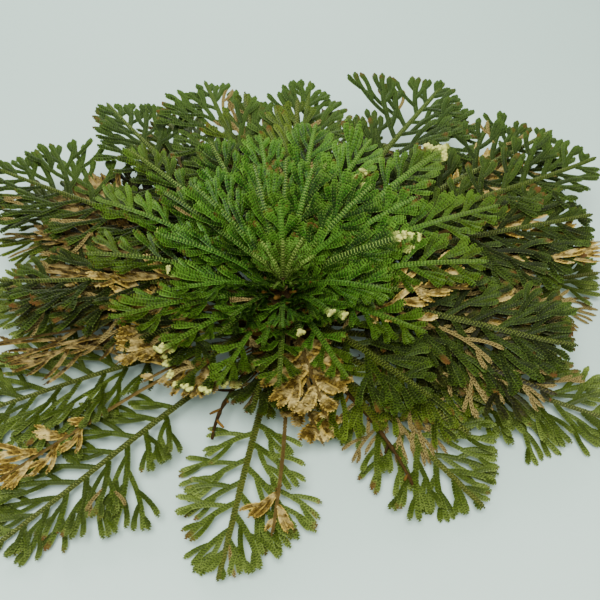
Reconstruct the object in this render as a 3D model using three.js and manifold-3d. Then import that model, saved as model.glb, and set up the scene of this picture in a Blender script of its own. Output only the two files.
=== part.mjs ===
// Rose of Jericho: a resurrection spikemoss that has opened flat after watering.
// Millimetres, +Z up. The origin lies on the resting surface under the middle of the root crown.
// A short brown root crown carries six tiers of flat forked fronds, the innermost standing up
// and the outermost lying out over the surface, with dead stems and dry fronds between them.

import * as THREE from 'three';
import * as BufferGeometryUtils from 'three/addons/utils/BufferGeometryUtils.js';
import Module from 'manifold-3d';

const wasm = await Module();
wasm.setup();

const RAD = Math.PI / 180;

// ---- driving dimensions ----

const BLADE_THICKNESS = 0.8;
const SEAT_GAP = 0.62; // between the middle of a stalk's foot and the root crown
const FOOT_RADIUS = 14; // the flat spot that the plant rests on
const CROWN_TOP = 41; // height of the root crown
const CROWN_SIDES = 16;
const BUD_HEIGHTS = [-1, 0.3]; // foot and top of the ring under fronds grown together
const BUD_GAP = 0.35;
const BUD_WALL = 1.3;

// Height and radius of the root crown, foot first.
const CROWN_OUTLINE = [
  [0, FOOT_RADIUS],
  [4, 15.2],
  [9, 14],
  [16.5, 12.8],
  [24.5, 11],
  [31.5, 8.6],
  [36.5, 5.6],
  [39.5, 2.8],
];

// A frond's plan: the stalk's half width at its foot and tip, the stations on its bare part as
// shares of it, the share of its length where the side branches end, how deep a branch is forked,
// and the half width of a finger, forked or single, as a share of its lane, which is the room
// between two branches.
const STALK_HALF_WIDTH = [1.35, 0.8];
const BARE_STATIONS = [0, 0.3, 0.65];
const BRANCHES_END = 0.89;
const FULL_WIDTH_REACH = 0.8; // share of the tier's span from which a frond has its full width
const LEAST_WIDTH = 0.4; // width that a frond of no reach at all would have, as a share
const FORK_DEPTH = 0.46;
const FORKED_FINGER = 0.175;
const SINGLE_FINGER = 0.24;
const SHORT_FINGER = 0.88; // the second finger of a fork, against the first
const LEAST_FORKED = 1.9; // reach, in lanes, below which a branch stays single
const LAST_FORKED = 0.75; // share of the branches, from the foot, among which some are forked
const WIDEST_OPEN = 0.23; // radians from a branch's middle line to either finger of its fork
const END_OPEN = 0.6; // the same for the fork at the frond's end, as a share of its last lean
const UNEVEN = 0.13; // share by which a branch is longer or shorter than the outline asks
const LEAN_STIR = 1.5; // degrees by which a branch leans more or less than the spread asks
const LENGTH_SLACK = 1.02; // length along a curved stalk against the straight line

// A frond is a flat spray: a stalk that is bare near the root crown, then side branches by turns
// to the left and right, most of them forked once. Each tier of fronds has:
//   root      height at which its stalks leave the root crown
//   rise      how steeply they leave it, and settle, how they lie at the tip, in degrees
//   tipHeight height of a tip at the sides, and backLift, how much higher it is at the back
//   span      a full reach, and droop, how much higher a frond of no reach at all would end
//   stir      how far draws move the tip height, in millimetres
//   roll      how far a blade is turned about its stalk, so that it shingles on its neighbour
//   halfWidth of the blade, the bare share of its stalk, its number of side branches, and their
//             spread, the angle to the stalk at its foot and tip
//   arch      bend across the blade, up at the sides where it is positive
//   joined    true where the fronds are so young that their feet are still one bud
//   fronds    pairs of heading in degrees and reach in millimetres
const TIERS = [
  {
    name: 'heart_frond',
    colour: 0x4f9a3c,
    root: 39.2,
    rise: 74,
    settle: 40,
    tipHeight: 59,
    backLift: 3,
    span: 24,
    droop: 0,
    stir: 1.5,
    roll: 5,
    halfWidth: 6,
    bare: 0.22,
    branches: 4,
    spread: [42, 22],
    arch: 0.006,
    joined: true,
    fronds: ring(5, 20, (turn) => 20 + 4 * Math.cos(turn) ** 2),
  },
  {
    name: 'inner_frond',
    colour: 0x478f38,
    root: 36.2,
    rise: 63,
    settle: 12,
    tipHeight: 56,
    backLift: 7,
    span: 49,
    droop: 0,
    stir: 2,
    roll: 11,
    halfWidth: 7.5,
    bare: 0.26,
    branches: 5,
    spread: [40, 20],
    arch: 0.004,
    joined: true,
    fronds: ring(11, 8, (turn) => 36 + 12 * Math.cos(turn) ** 2 + 5 * Math.sin(turn)),
  },
  {
    name: 'crown_frond',
    colour: 0x3f8433,
    root: 31.2,
    rise: 50,
    settle: 2,
    tipHeight: 50,
    backLift: 10,
    span: 82,
    droop: 0,
    stir: 2.2,
    roll: 10,
    halfWidth: 9,
    bare: 0.27,
    branches: 7,
    spread: [42, 21],
    arch: 0.002,
    fronds: [
      [-1, 76], [19, 88], [39, 88], [59, 70], [78, 70], [98, 63], [118, 68], [137, 87],
      [156, 80], [179, 74], [201, 67], [221, 60], [245, 56], [270, 52], [297, 52], [329, 60],
    ],
  },
  {
    name: 'middle_frond',
    colour: 0x3d7331,
    root: 24.3,
    rise: 37,
    settle: 2,
    tipHeight: 33,
    backLift: 13,
    span: 130,
    droop: 14,
    stir: 2.2,
    roll: 8,
    halfWidth: 19,
    bare: 0.3,
    branches: 9,
    spread: [56, 26],
    arch: -0.001,
    fronds: [
      [-12, 112], [18, 132], [38, 150], [60, 138], [84, 114], [106, 120], [128, 132],
      [152, 142], [177, 110], [-156, 58], [-132, 58], [-100, 55], [-74, 58], [-44, 72],
    ],
  },
  {
    name: 'lower_frond',
    colour: 0x3a6a30,
    root: 16.3,
    rise: 25,
    settle: -6,
    tipHeight: 16,
    backLift: 9,
    span: 125,
    droop: 18,
    stir: 1.5,
    roll: 7,
    halfWidth: 20,
    bare: 0.32,
    branches: 10,
    spread: [58, 26],
    arch: -0.002,
    fronds: [
      [2, 118], [40, 138], [78, 124], [114, 130], [150, 138],
      [-174, 112], [-147, 62], [-96, 48], [-54, 64], [-30, 86],
    ],
  },
  {
    name: 'outer_frond',
    colour: 0x4a7436,
    root: 9,
    rise: 11,
    settle: -4,
    tipHeight: 4.8,
    backLift: 1.5,
    span: 132,
    droop: 9,
    stir: 0.4,
    roll: 6,
    halfWidth: 21,
    bare: 0.36,
    branches: 11,
    spread: [60, 27],
    arch: -0.002,
    fronds: [
      [-17, 134], [16, 140], [48, 146], [80, 126], [110, 128], [140, 136],
      [168, 130], [-164, 132], [-136, 138], [-102, 108], [-46, 106],
    ],
  },
];

// Dead fronds hang on between the green tiers. The arms of a spray leave the root crown side by
// side from one woody knuckle. Each has its own heading, reach and tip height.
const DRY_FROND = {
  colour: 0xc9a063,
  settle: -8,
  roll: 0,
  halfWidth: 8,
  bare: 0.5,
  branches: 4,
  spread: [48, 30],
  arch: 0.004,
};
const KNUCKLE_RADIUS = 2.4;
const ARM_STEP = 7; // degrees between the feet of two arms
const DRY_SPRAYS = [
  { root: 20.3, rise: 31, arms: [[178, 92, 22], [205, 68, 25]] },
  { root: 20.3, rise: 31, arms: [[-6, 100, 21.5], [14, 132, 26], [40, 128, 31]] },
  { root: 12.6, rise: 9, arms: [[-92, 92, 11], [-75, 58, 12.5]] },
  { root: 12.6, rise: 20, arms: [[-147, 124, 5.5]] },
  { root: 27.6, rise: 50, arms: [[-24, 60, 41], [-6, 70, 43]] },
];

// Dead bare stems grown from the root crown: heading, reach, tip height and side bend.
const TWIG_ROOT = [11, 12.6]; // distance from the axis and height, inside the root crown
const TWIG_RADIUS = 1.25;
const DEAD_TWIGS = [
  [-178, 92, 12, 6],
  [-171, 76, 10, -5],
  [170, 72, 15, 4],
  [-114, 58, 10, -4],
  [-57, 70, 10.5, 2],
  [17, 84, 14, -4],
  [109, 80, 14, 4],
];

// Short roots that lie on the surface round the foot.
const ROOT_COUNT = 6;
const ROOT_REACH = 27;
const ROOT_RADIUS = 2.2;

// ---- helpers ----

/** Headings evenly round the crown from a first one, each with its reach by a rule. */
function ring(count, first, reachAt) {
  return Array.from({ length: count }, (_, i) => {
    const heading = first + (360 * i) / count;
    return [heading, reachAt(heading * RAD)];
  });
}

/** A repeatable draw between -1 and 1, numbered by frond and by what it is used for. */
function draw(frond, use) {
  const x = Math.sin(frond * 12.9898 + use * 78.233) * 43758.5453;
  return 2 * (x - Math.floor(x)) - 1;
}

/** A closed mesh as a manifold solid, for joining. */
function solidOf(geometry) {
  const bare = geometry.clone();
  bare.deleteAttribute('normal');
  bare.deleteAttribute('uv');
  const merged = BufferGeometryUtils.mergeVertices(bare, 1e-4);
  return new wasm.Manifold(new wasm.Mesh({
    numProp: 3,
    vertProperties: new Float32Array(merged.attributes.position.array),
    triVerts: new Uint32Array(merged.index.array),
  }));
}

/** A manifold solid as a geometry to draw. */
function geometryOf(solid) {
  const mesh = solid.getMesh();
  const geometry = new THREE.BufferGeometry();
  geometry.setAttribute('position', new THREE.BufferAttribute(mesh.vertProperties, 3));
  geometry.setIndex(new THREE.BufferAttribute(mesh.triVerts, 1));
  return geometry;
}

// ---- frond plan: a flat net of triangles in (along, across), millimetres ----

class Plan {
  constructor() {
    this.points = [];
    this.faces = [];
  }

  point(along, across) {
    return this.points.push([along, across]) - 1;
  }

  /**
   * Fingers that grow from the edge between two points, with the open side to the edge's left.
   * They come in order of rising angle, and crotches are the points between them.
   */
  grow(from, to, fingers, crotches) {
    const feet = [to, ...crotches, from];
    for (let k = 1; k < feet.length - 1; k += 1) {
      this.faces.push([from, feet[k - 1], feet[k]]);
    }
    fingers.forEach(({ tip, angle, halfWidth }, k) => {
      const side = [-Math.sin(angle) * halfWidth, Math.cos(angle) * halfWidth];
      const right = this.point(tip[0] - side[0], tip[1] - side[1]);
      const left = this.point(tip[0] + side[0], tip[1] + side[1]);
      this.faces.push([feet[k], right, left], [feet[k], left, feet[k + 1]]);
    });
  }
}

/** A point at a distance and an angle from another, in the plan. */
function planStep([along, across], distance, angle) {
  return [along + distance * Math.cos(angle), across + distance * Math.sin(angle)];
}

/** Half width of the frond as a share of its widest, t from 0 at the lowest branch to 1 at the tip. */
function outlineShare(t) {
  return Math.sin(Math.PI * (0.22 + 0.68 * t)) ** 0.8;
}

/** Length, lean and fingers of side branch i, which grows from the stalk's edge at root. */
function sideBranch(frond, i, root, side, step) {
  const { length, spread, halfWidth, number } = frond;
  const t = i / (frond.branches - 1);
  const lean = (spread[0] + (spread[1] - spread[0]) * t + LEAN_STIR * draw(number, 20 + i)) * RAD;
  const lane = 2 * step * Math.sin(lean) + 0.05 * halfWidth;
  const room = (0.985 * length - root[0]) / Math.cos(0.75 * lean); // short of the frond's tip
  const wanted = (halfWidth * outlineShare(t) * (1 + UNEVEN * draw(number, 40 + i))) / Math.sin(lean);
  const reach = Math.min(wanted, room);
  const finger = (turn, share, width) => {
    const angle = side * (lean + turn);
    return { tip: planStep(root, reach * share, angle), angle, halfWidth: width * lane };
  };
  if (!frond.forks || t > LAST_FORKED || reach < LEAST_FORKED * lane || i % 3 === 2) {
    return { fingers: [finger(0, 1, SINGLE_FINGER)], crotches: [] };
  }
  const open = Math.min(WIDEST_OPEN, (0.4 * lane) / reach);
  return {
    fingers: [finger(-open, 1, FORKED_FINGER), finger(open, SHORT_FINGER, FORKED_FINGER)],
    crotches: [planStep(root, FORK_DEPTH * reach, side * lean)],
  };
}

/** The frond's plan: stalk, side branches by turns on its two sides, and a forked end. */
function frondPlan(frond) {
  const plan = new Plan();
  const { length, bare, branches } = frond;
  const first = bare * length;
  const last = BRANCHES_END * length;
  const step = (last - first) / branches;
  const stations = BARE_STATIONS.map((share) => share * first);
  for (let i = 0; i <= branches; i += 1) {
    stations.push(first + i * step);
  }
  const [footHalf, tipHalf] = STALK_HALF_WIDTH;
  const edgeAt = (x) => footHalf + (tipHalf - footHalf) * (x / length);
  const rights = stations.map((x) => plan.point(x, -edgeAt(x)));
  const lefts = stations.map((x) => plan.point(x, edgeAt(x)));
  for (let k = 1; k < stations.length; k += 1) {
    plan.faces.push([rights[k - 1], rights[k], lefts[k]], [rights[k - 1], lefts[k], lefts[k - 1]]);
  }
  for (let i = 0; i < branches; i += 1) {
    const near = BARE_STATIONS.length + i;
    const side = (i + frond.firstSide) % 2 === 0 ? 1 : -1;
    const root = [stations[near] + step / 2, side * edgeAt(stations[near])];
    const { fingers, crotches } = sideBranch(frond, i, root, side, step);
    const feet = crotches.map(([along, across]) => plan.point(along, across));
    if (side > 0) {
      plan.grow(lefts[near], lefts[near + 1], fingers, feet);
    } else {
      plan.grow(rights[near + 1], rights[near], fingers.reverse(), feet);
    }
  }
  const tipReach = 0.995 * length - last;
  const endOpen = END_OPEN * frond.spread[1] * RAD;
  const tips = [[-endOpen, 1], [endOpen, SHORT_FINGER]].map(([angle, share]) => ({
    tip: planStep([last, 0], share * tipReach, angle),
    angle,
    halfWidth: Math.min(0.18 * step + 0.2, 0.75 * tipReach * Math.sin(endOpen)),
  }));
  plan.grow(lefts.at(-1), rights.at(-1), tips, [plan.point(last + 0.4 * tipReach, 0)]);
  return plan;
}

// ---- frond in space ----

/** Radius of the root crown's outline at a height. */
function radiusAt(height) {
  const k = CROWN_OUTLINE.findIndex(([top]) => top >= height);
  const [lowHeight, lowRadius] = CROWN_OUTLINE[k - 1];
  const [topHeight, topRadius] = CROWN_OUTLINE[k];
  const share = (height - lowHeight) / (topHeight - lowHeight);
  return lowRadius + (topRadius - lowRadius) * share;
}

/** Distance from the axis to the root crown's faceted side, at a height and heading. */
function crownSeat(height, heading) {
  const facet = (2 * Math.PI) / CROWN_SIDES;
  const offMiddle = heading - facet * (Math.floor(heading / facet) + 0.5);
  return (radiusAt(height) * Math.cos(facet / 2)) / Math.cos(offMiddle);
}

/** The stalk's line: it leaves the root crown at the rise angle and settles towards the tip. */
function stalkLine(frond) {
  const foot = new THREE.Vector3(frond.foot, 0, frond.root);
  const tip = new THREE.Vector3(frond.reach, frond.sweep, frond.tipHeight);
  const third = foot.distanceTo(tip) / 3;
  const leave = new THREE.Vector3(Math.cos(frond.rise), 0, Math.sin(frond.rise));
  const arrive = new THREE.Vector3(Math.cos(frond.settle), 0, Math.sin(frond.settle));
  const nearFoot = foot.clone().addScaledVector(leave, third);
  const nearTip = tip.clone().addScaledVector(arrive, -third);
  nearTip.y = frond.sweep / 3;
  return new THREE.CubicBezierCurve3(foot, nearFoot, nearTip, tip);
}

/** A plan point set in space: out along the stalk, across it on the rolled and arched blade. */
function placeOn(frond, along, across) {
  const line = stalkLine(frond);
  const share = along / frond.length;
  const ahead = line.getTangent(Math.min(share, 1));
  const left = new THREE.Vector3(0, 1, 0).addScaledVector(ahead, -ahead.y).normalize();
  const up = new THREE.Vector3().crossVectors(ahead, left);
  const rolledLeft = left.clone().multiplyScalar(Math.cos(frond.roll));
  rolledLeft.addScaledVector(up, Math.sin(frond.roll));
  const rolledUp = new THREE.Vector3().crossVectors(ahead, rolledLeft);
  const point = line.getPoint(share);
  point.addScaledVector(rolledLeft, across);
  point.addScaledVector(rolledUp, frond.arch * across * across);
  const turn = new THREE.Vector3(0, 0, 1);
  point.applyAxisAngle(turn, frond.heading);
  rolledUp.applyAxisAngle(turn, frond.heading);
  return { point, up: rolledUp };
}

/** The plan as a closed blade: the same triangles on its upper and lower face, and its rim. */
function bladeGeometry(frond, plan) {
  const positions = [];
  plan.points.forEach(([along, across]) => {
    const { point, up } = placeOn(frond, along, across);
    const half = up.multiplyScalar(BLADE_THICKNESS / 2);
    positions.push(...point.clone().add(half).toArray(), ...point.clone().sub(half).toArray());
  });
  const upper = (k) => 2 * k;
  const lower = (k) => 2 * k + 1;
  const index = [];
  const edges = new Map();
  plan.faces.forEach(([a, b, c]) => {
    index.push(upper(a), upper(b), upper(c), lower(a), lower(c), lower(b));
    [[a, b], [b, c], [c, a]].forEach(([p, q]) => {
      edges.set(`${p},${q}`, [p, q]);
    });
  });
  edges.forEach(([p, q]) => {
    if (!edges.has(`${q},${p}`)) {
      index.push(upper(p), lower(p), lower(q), upper(p), lower(q), upper(q));
    }
  });
  const geometry = new THREE.BufferGeometry();
  geometry.setAttribute('position', new THREE.Float32BufferAttribute(positions, 3));
  geometry.setIndex(index);
  return geometry;
}

/** Every frond of a tier, with its own draws of height, roll and side bend. */
function tierFronds(tier, firstNumber) {
  return tier.fronds.map(([heading, reach], i) => {
    const number = firstNumber + i;
    const turn = heading * RAD;
    const frond = {
      ...tier,
      number,
      name: `${tier.name}_${i + 1}`,
      heading: turn,
      reach,
      firstSide: number % 2,
      forks: true,
      rise: tier.rise * RAD,
      settle: (tier.settle + 2 * tier.stir * draw(number, 3)) * RAD,
      roll: tier.roll * RAD + Math.atan((tier.backLift / reach) * Math.cos(turn)),
      sweep: 0.03 * reach * draw(number, 1),
      tipHeight: tier.tipHeight + tier.backLift * Math.sin(turn)
        + tier.droop * (1 - reach / tier.span) + tier.stir * draw(number, 2),
    };
    const grown = Math.min(reach / (FULL_WIDTH_REACH * tier.span), 1);
    frond.halfWidth *= LEAST_WIDTH + (1 - LEAST_WIDTH) * grown;
    frond.foot = crownSeat(tier.root, turn) + SEAT_GAP;
    frond.length = LENGTH_SLACK * Math.hypot(reach - frond.foot, frond.tipHeight - frond.root);
    return frond;
  });
}

/** The fronds of one tier grown together: their feet sink in a ring round the root crown. */
function budSolid(tier, firstNumber) {
  const inner = BUD_HEIGHTS.map((height) => [radiusAt(tier.root + height) + BUD_GAP, tier.root + height]);
  const outer = inner.map(([radius, height]) => [radius + BUD_WALL, height]).reverse();
  const profile = [...inner, ...outer, inner[0]].map(([radius, height]) => new THREE.Vector2(radius, height));
  const ringGeometry = new THREE.LatheGeometry(profile.reverse(), CROWN_SIDES);
  ringGeometry.rotateX(Math.PI / 2);
  return tierFronds(tier, firstNumber).reduce(
    (solid, frond) => solid.add(solidOf(bladeGeometry(frond, frondPlan(frond)))),
    solidOf(ringGeometry),
  );
}

// ---- root crown with its roots and dead stems ----

/** A knobbly tapering tube along a line, with pointed ends, as a solid. */
function twigSolid(line, radius, segments, sides) {
  const frames = line.computeFrenetFrames(segments, false);
  const points = [];
  for (let k = 0; k <= segments; k += 1) {
    const share = k / segments;
    const here = radius * (k % 2 === 0 ? 1 : 0.78) * (1 - 0.6 * share);
    for (let j = 0; j < sides; j += 1) {
      const angle = (2 * Math.PI * j) / sides;
      const point = line.getPoint(share);
      point.addScaledVector(frames.normals[k], Math.cos(angle) * here);
      point.addScaledVector(frames.binormals[k], Math.sin(angle) * here);
      points.push(point);
    }
  }
  const start = points.push(line.getPoint(0).addScaledVector(frames.tangents[0], -radius / 2)) - 1;
  const end = points.push(line.getPoint(1).addScaledVector(frames.tangents[segments], radius / 2)) - 1;
  const index = [];
  for (let j = 0; j < sides; j += 1) {
    const next = (j + 1) % sides;
    for (let k = 0; k < segments; k += 1) {
      const near = k * sides;
      const far = near + sides;
      index.push(near + j, near + next, far + next, near + j, far + next, far + j);
    }
    index.push(start, next, j, end, segments * sides + j, segments * sides + next);
  }
  const geometry = new THREE.BufferGeometry().setFromPoints(points);
  geometry.setIndex(index);
  return solidOf(geometry);
}

/** A point given by its heading, distance from the axis, height and side step. */
function outAt(heading, distance, height, aside = 0) {
  const out = new THREE.Vector3(distance, aside, height);
  return out.applyAxisAngle(new THREE.Vector3(0, 0, 1), heading * RAD);
}

/** A dead stem with a side stub, rising a little before it sinks to its tip. */
function deadTwigSolid([heading, reach, tipHeight, bend]) {
  const [rootRadius, rootHeight] = TWIG_ROOT;
  const crest = rootHeight + 3;
  const line = new THREE.CatmullRomCurve3([
    outAt(heading, rootRadius, rootHeight),
    outAt(heading, 0.45 * reach, crest, 0.4 * bend),
    outAt(heading, 0.75 * reach, (crest + tipHeight) / 2, bend),
    outAt(heading, reach, tipHeight, 0.6 * bend),
  ]);
  const solid = twigSolid(line, TWIG_RADIUS, 4, 4);
  const fork = line.getPoint(0.6);
  const stubTip = fork.clone().add(outAt(heading, 5, 0.2, bend > 0 ? -4 : 4));
  return solid.add(twigSolid(new THREE.LineCurve3(fork, stubTip), 0.7 * TWIG_RADIUS, 1, 3));
}

/** The root crown turned about its axis, with its roots and dead stems joined to it. */
function rootCrownSolid() {
  const outline = [new THREE.Vector2(0, 0)];
  CROWN_OUTLINE.forEach(([height, radius]) => {
    outline.push(new THREE.Vector2(radius, height));
  });
  outline.push(new THREE.Vector2(0, CROWN_TOP));
  const lathe = new THREE.LatheGeometry(outline, CROWN_SIDES);
  lathe.rotateX(Math.PI / 2);
  let solid = solidOf(lathe);
  for (let k = 0; k < ROOT_COUNT; k += 1) {
    const heading = (360 * (k + 0.3 * draw(k, 60))) / ROOT_COUNT;
    const reach = ROOT_REACH + 3 * draw(k, 61);
    const line = new THREE.CatmullRomCurve3([
      outAt(heading, 8, 4),
      outAt(heading, 0.6 * reach, 3, 1.5),
      outAt(heading, reach, 1.2, -1),
    ]);
    solid = solid.add(twigSolid(line, ROOT_RADIUS, 2, 4));
  }
  DEAD_TWIGS.forEach((twig) => {
    solid = solid.add(deadTwigSolid(twig));
  });
  return solid;
}

// ---- dry sprays ----

/** The arms of one dry spray, joined by the knuckle that they leave from. */
function drySpraySolid({ root, rise, arms }, number) {
  const middle = arms.reduce((sum, [heading]) => sum + heading, 0) / arms.length;
  const seat = crownSeat(root, middle * RAD) + SEAT_GAP;
  const knuckle = new THREE.IcosahedronGeometry(KNUCKLE_RADIUS, 0);
  knuckle.translate(...outAt(middle, seat + KNUCKLE_RADIUS, root + 1).toArray());
  let solid = solidOf(knuckle);
  arms.forEach(([heading, reach, tipHeight], k) => {
    const footHeading = middle + ARM_STEP * (k - (arms.length - 1) / 2);
    const frond = {
      ...DRY_FROND,
      root,
      foot: seat + 0.3 * KNUCKLE_RADIUS,
      number: 100 + 10 * number + k,
      heading: footHeading * RAD,
      reach: reach * Math.cos((heading - footHeading) * RAD),
      sweep: reach * Math.sin((heading - footHeading) * RAD),
      firstSide: k % 2,
      forks: false,
      rise: rise * RAD,
      settle: DRY_FROND.settle * RAD,
      tipHeight,
    };
    frond.length = LENGTH_SLACK * Math.hypot(reach - seat, tipHeight - root);
    solid = solid.add(solidOf(bladeGeometry(frond, frondPlan(frond))));
  });
  return solid;
}

// ---- the plant ----

/** A mesh with its own plain material, by the name of its piece. */
function named(name, geometry, colour, roughness) {
  const material = new THREE.MeshStandardMaterial({ color: colour, roughness, metalness: 0 });
  const mesh = new THREE.Mesh(geometry, material);
  mesh.name = name;
  return mesh;
}

const plant = new THREE.Group();
plant.name = 'rose_of_jericho';
plant.add(named('root_crown', geometryOf(rootCrownSolid()), 0x4a3020, 0.9));

let count = 0;
TIERS.forEach((tier) => {
  if (tier.joined) {
    plant.add(named(`${tier.name}s`, geometryOf(budSolid(tier, count)), tier.colour, 0.6));
  } else {
    tierFronds(tier, count).forEach((frond) => {
      plant.add(named(frond.name, bladeGeometry(frond, frondPlan(frond)), frond.colour, 0.6));
    });
  }
  count += tier.fronds.length;
});

DRY_SPRAYS.forEach((spray, k) => {
  plant.add(named(`dry_spray_${k + 1}`, geometryOf(drySpraySolid(spray, k)), DRY_FROND.colour, 0.85));
});

export default plant;
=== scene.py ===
import math

import bpy
import numpy as np
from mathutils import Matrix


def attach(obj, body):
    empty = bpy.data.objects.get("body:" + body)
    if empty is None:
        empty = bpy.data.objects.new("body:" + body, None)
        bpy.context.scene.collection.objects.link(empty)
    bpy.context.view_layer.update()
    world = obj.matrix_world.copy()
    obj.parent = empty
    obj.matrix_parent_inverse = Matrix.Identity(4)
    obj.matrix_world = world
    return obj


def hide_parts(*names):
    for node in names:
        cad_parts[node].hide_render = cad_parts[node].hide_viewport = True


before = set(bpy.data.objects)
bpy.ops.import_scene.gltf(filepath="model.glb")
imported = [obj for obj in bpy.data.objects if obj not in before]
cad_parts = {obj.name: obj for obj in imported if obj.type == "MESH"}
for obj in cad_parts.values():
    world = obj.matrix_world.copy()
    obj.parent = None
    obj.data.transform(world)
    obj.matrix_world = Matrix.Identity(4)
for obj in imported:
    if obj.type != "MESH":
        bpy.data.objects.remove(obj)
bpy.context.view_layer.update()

# ----------------------------------------
# Root crown: the short woody stock in the middle, grown from the bases of old fronds. It is one
# body with the roots that lie under it, the stubs of lost fronds and the dead stems that still
# stick out. The plant's sizes are in millimetres, and a mesh is turned to metres when it is made.
# ----------------------------------------

MM = 0.001
LEAST_FACE = 1e-4  # twice the smallest area of a triangle that is kept
# The two halves of a square, each a triangle that keeps clear of the square's edges.
SQUARE_HALVES = np.array([
    [[0.08, 0.06], [0.88, 0.06], [0.08, 0.86]],
    [[0.92, 0.94], [0.12, 0.94], [0.92, 0.14]],
])
# The stock's outline: heights, and its radius at each.
CROWN_HEIGHTS = [0, 4, 9, 16.5, 24.5, 31.5, 36.5, 39.5, 41]
CROWN_RADII = [14, 15.2, 14, 12.8, 11, 8.6, 5.6, 2.8, 0.2]
CROWN_INSET = 0.9  # how far the stock lies inside its outline, to leave room for its lobes
CROWN_ROWS, CROWN_COLUMNS = 64, 72
STUBS = 90
LOWEST_STUB, STUB_RISE = 4, 34
STUB_LENGTH, STUB_RADIUS = 2.6, 0.75
STUB_SHAPE = np.array([1.25, 1.0, 1.05, 0.8])  # its radius from foot to tip, as shares
GOLDEN_ANGLE = 2.399963  # in radians, from one stub to the next
ROOTS, ROOT_STEPS = 6, 14
ROOT_REACH, ROOT_RADII = 27, (2.0, 0.45)
ROOTLETS, ROOTLET_STEPS = 44, 12
ROOTLET_REACH, ROOTLET_RADII = 22, (0.42, 0.22)
NEARLY_UP = [0.02, 0.01, 1.0]  # upright but for a little, so that no tube runs along it
END_BULGE = 0.05  # how far the closed end of a tube stands out, in radii
DEAD_STEM_FOOT = (11, 12.6)  # distance from the axis, and height
# Heading in degrees, reach, tip height and side bend of each dead stem.
DEAD_STEMS = [
    (-178, 92, 12, 6),
    (-171, 76, 10, -5),
    (170, 72, 15, 4),
    (-114, 58, 10, -4),
    (-57, 84, 7, 2),
    (17, 84, 14, -4),
    (109, 80, 14, 4),
]
DEAD_STEM_RADIUS, STEM_STEPS = 1.25, 40
FIRST_TWIG, TWIG_EVERY = 4, 3  # in steps along the stem
TWIG_LENGTH, TWIG_RADII = 3.2, np.array([0.7, 0.55, 0.6, 0.4])


def draw(part, use):
    """A repeatable draw from -1 to 1: twice the fraction of a large sine, less one."""
    wave = np.sin(part * 12.9898 + use * 78.233) * 43758.5453
    return 2 * (wave - np.floor(wave)) - 1


def out_at(heading, distance, height, aside=0.0):
    """A point by its heading in degrees, distance from the axis, height and step to the left."""
    turn = math.radians(heading)
    return np.array([
        distance * math.cos(turn) - aside * math.sin(turn),
        distance * math.sin(turn) + aside * math.cos(turn),
        height,
    ])


def through(points, steps):
    """The smooth curve through a few points: each is weighted by its Lagrange polynomial."""
    points = np.array(points, float)
    knots = np.linspace(0, 1, len(points))
    t = np.linspace(0, 1, steps)
    curve = np.zeros((steps, 3))
    for k, knot in enumerate(knots):
        others = np.delete(knots, k)
        weight = np.prod((t[:, None] - others) / (knot - others), axis=1)
        curve += weight[:, None] * points[k]
    return curve


def grid_faces(rows, columns):
    """Two triangles for each cell of a grid whose last column joins its first."""
    row, column = np.meshgrid(np.arange(rows - 1), np.arange(columns), indexing="ij")
    near = row * columns + column
    next_near = row * columns + (column + 1) % columns
    far = near + columns
    next_far = next_near + columns
    first = np.stack([near, next_near, next_far], axis=-1)
    second = np.stack([near, next_far, far], axis=-1)
    return np.concatenate([first.reshape(-1, 3), second.reshape(-1, 3)])


# The numbers that a finish reads at a point, each in a channel of one of two attributes: nearness to
# a scale leaf's margin, a draw of its own, 0 for a finger to 1 for a stalk, nearness to the stem's
# end, dryness, cream paleness and a draw of the stem's own.
MARKS = {
    "edge": ("scale", "Red"), "spot": ("scale", "Green"), "rank": ("scale", "Blue"),
    "tip": ("growth", "Red"), "dry": ("growth", "Green"), "pale": ("growth", "Blue"),
    "tint": ("growth", "Alpha"),
}


def marks(count, edge=0.0, spot=0.0, rank=0.0, tip=0.0, dry=0.0, pale=0.0, tint=0.5):
    """The seven marks of each point in a row, from single values or arrays."""
    values = (edge, spot, rank, tip, dry, pale, tint)
    return np.stack([np.broadcast_to(np.asarray(value, float), (count,)) for value in values], axis=1)


def tube(path, radius, sides, **mark):
    """A tube with closed ends: round each point of the path stands a ring of that radius.

    A ring's plane is spanned by the level direction square to the path and by their cross product.
    """
    path = np.asarray(path, float)
    ahead = np.gradient(path, axis=0)
    ahead /= np.linalg.norm(ahead, axis=1)[:, None]
    level = np.cross(NEARLY_UP, ahead)
    level /= np.linalg.norm(level, axis=1)[:, None]
    upward = np.cross(ahead, level)
    around = 2 * np.pi * np.arange(sides) / sides
    spokes = (
        np.cos(around)[None, :, None] * level[:, None, :]
        + np.sin(around)[None, :, None] * upward[:, None, :]
    )
    rings = path[:, None, :] + radius[:, None, None] * spokes
    first = np.tile(path[0] - ahead[0] * radius[0] * END_BULGE, (1, sides, 1))
    last = np.tile(path[-1] + ahead[-1] * radius[-1] * END_BULGE, (1, sides, 1))
    points = np.concatenate([first, rings, last]).reshape(-1, 3)
    return points, grid_faces(len(path) + 2, sides), marks(len(points), **mark)


def join(parts):
    """Several (points, faces, marks) as one."""
    parts = list(parts)
    starts = np.cumsum([0] + [len(points) for points, _, _ in parts[:-1]])
    faces = np.concatenate([face + start for (_, face, _), start in zip(parts, starts)])
    return np.concatenate([p for p, _, _ in parts]), faces, np.concatenate([m for _, _, m in parts])


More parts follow.
